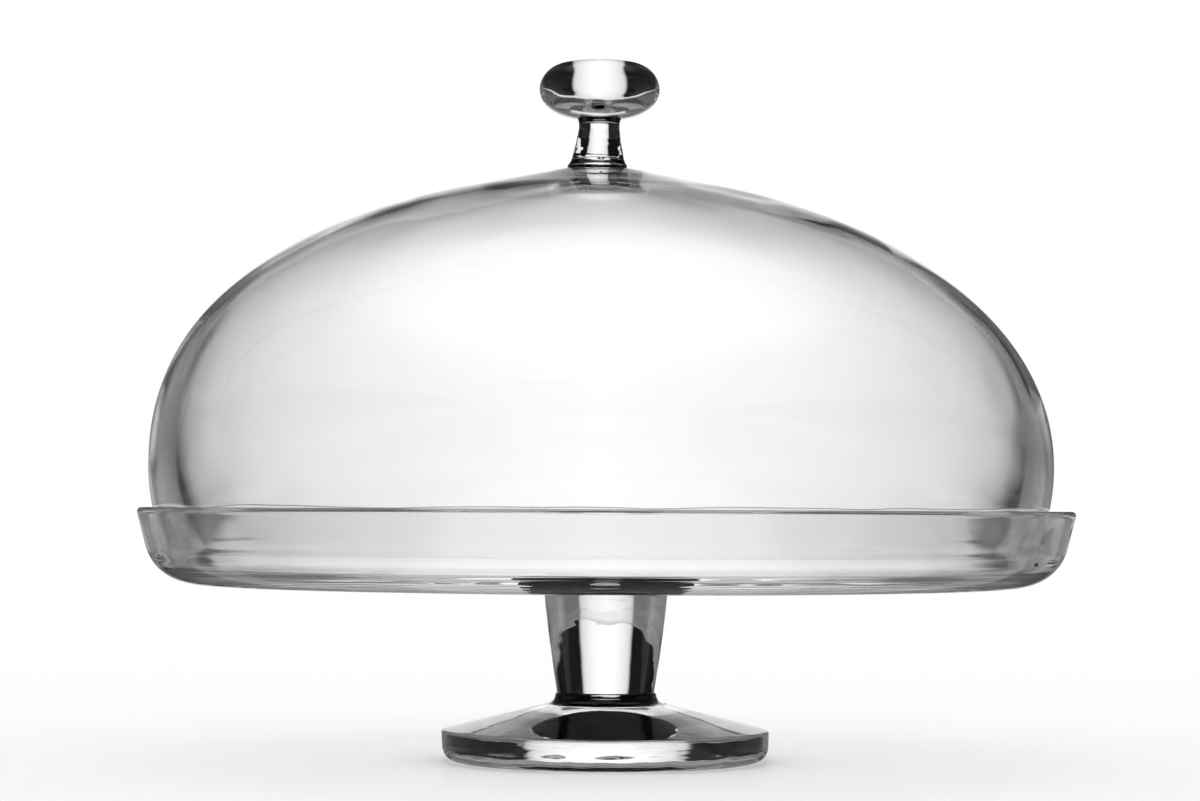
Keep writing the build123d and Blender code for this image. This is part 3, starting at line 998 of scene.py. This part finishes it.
# Stray light for rays that were mirrored inside the glass.
wide = node(tree, "ShaderNodeMapRange", height, WIDE_HIGH, WIDE_LOW, interpolation_type=SOFT).outputs[0]
wide = node(tree, "ShaderNodeMath", wide, WIDE_GLOW_LOW, WIDE_GLOW, operation="MULTIPLY_ADD").outputs[0]
wide_part = node(
    tree, "ShaderNodeMapRange", aside, WIDE_FADED, WIDE_FULL, interpolation_type=SOFT
).outputs[0]
mirrored = node(tree, "ShaderNodeMath", 1.0, straight, operation="SUBTRACT").outputs[0]
for part in (wide_part, mirrored):
    wide = node(tree, "ShaderNodeMath", wide, part, operation="MULTIPLY").outputs[0]
mixed = node(tree, "ShaderNodeMath", mirrors, MIRRORED_TWICE, operation="GREATER_THAN").outputs[0]
mixed = node(tree, "ShaderNodeMath", mixed, MIXED_LIT, operation="MULTIPLY").outputs[0]
lit = field
for part in (side, glow, fill, wide, mixed):
    lit = node(tree, "ShaderNodeMath", lit, part, operation="MAXIMUM").outputs[0]
lit = node(tree, "ShaderNodeMath", lit, DARK, operation="ADD").outputs[0]
top = node(
    tree, "ShaderNodeMapRange", height, WALL_TOP, WALL_TOP - WALL_FADE, interpolation_type=SOFT
).outputs[0]
shown = node(tree, "ShaderNodeMix", Factor=top, A=ROOM_DARK, B=lit, data_type="FLOAT").outputs[0]
panel = node(tree, "ShaderNodeEmission", Color=tint("#FFFFFF"), Strength=shown).outputs[0]
node(tree, "ShaderNodeOutputMaterial", Surface=panel)
opal.cycles.emission_sampling = "NONE"
sheet.materials.append(opal)

# The room. White for the eye and for the floor's light, and dim for glass that looks over the wall,
# with a soft glow from the ceiling overhead.
SCATTERED_ONCE = 0.5
CEILING_GLOW = 0.45
CEILING_EDGE, CEILING_LOW = math.radians(46), math.radians(60)
world = bpy.data.worlds.new("studio")
bpy.context.scene.world = world
world.use_nodes = True
tree = world.node_tree
tree.nodes.clear()
seen = node(tree, "ShaderNodeLightPath").outputs
glassy = node(
    tree, "ShaderNodeMath", seen["Is Glossy Ray"], seen["Is Transmission Ray"], operation="MAXIMUM"
).outputs[0]
scatters, mirrors = seen["Diffuse Depth"], seen["Glossy Depth"]
unscattered = node(tree, "ShaderNodeMath", scatters, SCATTERED_ONCE, operation="LESS_THAN").outputs[0]
by_glass = node(tree, "ShaderNodeMath", glassy, unscattered, operation="MULTIPLY").outputs[0]
way = node(tree, "ShaderNodeTexCoord").outputs["Generated"]
_, _, upward = node(tree, "ShaderNodeSeparateXYZ", way).outputs
rise = node(tree, "ShaderNodeMath", upward, operation="ARCSINE").outputs[0]
ceiling = node(
    tree, "ShaderNodeMapRange", rise, CEILING_EDGE, CEILING_LOW, interpolation_type=SOFT
).outputs[0]
room = node(tree, "ShaderNodeMath", ceiling, CEILING_GLOW, ROOM_DARK, operation="MULTIPLY_ADD").outputs[0]
mixed = node(tree, "ShaderNodeMath", mirrors, MIRRORED_TWICE, operation="GREATER_THAN").outputs[0]
mixed = node(tree, "ShaderNodeMath", mixed, MIXED_LIT, operation="MULTIPLY").outputs[0]
room = node(tree, "ShaderNodeMath", room, mixed, operation="MAXIMUM").outputs[0]
shown = node(tree, "ShaderNodeMix", Factor=by_glass, A=1.0, B=room, data_type="FLOAT").outputs[0]
backdrop = node(tree, "ShaderNodeBackground", Color=tint("#FFFFFF"), Strength=shown).outputs[0]
node(tree, "ShaderNodeOutputWorld", Surface=backdrop)

# Light crosses many surfaces in the thick glass before it comes out again.
BOUNCES = 64
CLEAR_BOUNCES = 16
light_paths = bpy.context.scene.cycles
light_paths.blur_glossy = 0.0
light_paths.max_bounces = BOUNCES
light_paths.transmission_bounces = BOUNCES
light_paths.glossy_bounces = BOUNCES
light_paths.transparent_max_bounces = CLEAR_BOUNCES

# The camera stands where the photographer's did: level with the plate's rim, a good metre away, tipped
# up a little to take in the knob, and a hair out of level.

EYE_HEIGHT = 0.0858
EYE_DISTANCE = 1.135
EYE_SIDE = -0.0024
TIP_UP = 1.9
OUT_OF_LEVEL = 0.3
lens = bpy.data.cameras.new("camera")
lens.lens = 99.0
lens.sensor_width = 36.0
camera = bpy.data.objects.new("camera", lens)
bpy.context.scene.collection.objects.link(camera)
camera.matrix_world = (
    Matrix.Translation((EYE_SIDE, -EYE_DISTANCE, EYE_HEIGHT))
    @ Matrix.Rotation(math.radians(90 + TIP_UP), 4, "X")
    @ Matrix.Rotation(math.radians(OUT_OF_LEVEL), 4, "Z")
)
bpy.context.scene.camera = camera
bpy.context.scene.view_settings.view_transform = "Standard"
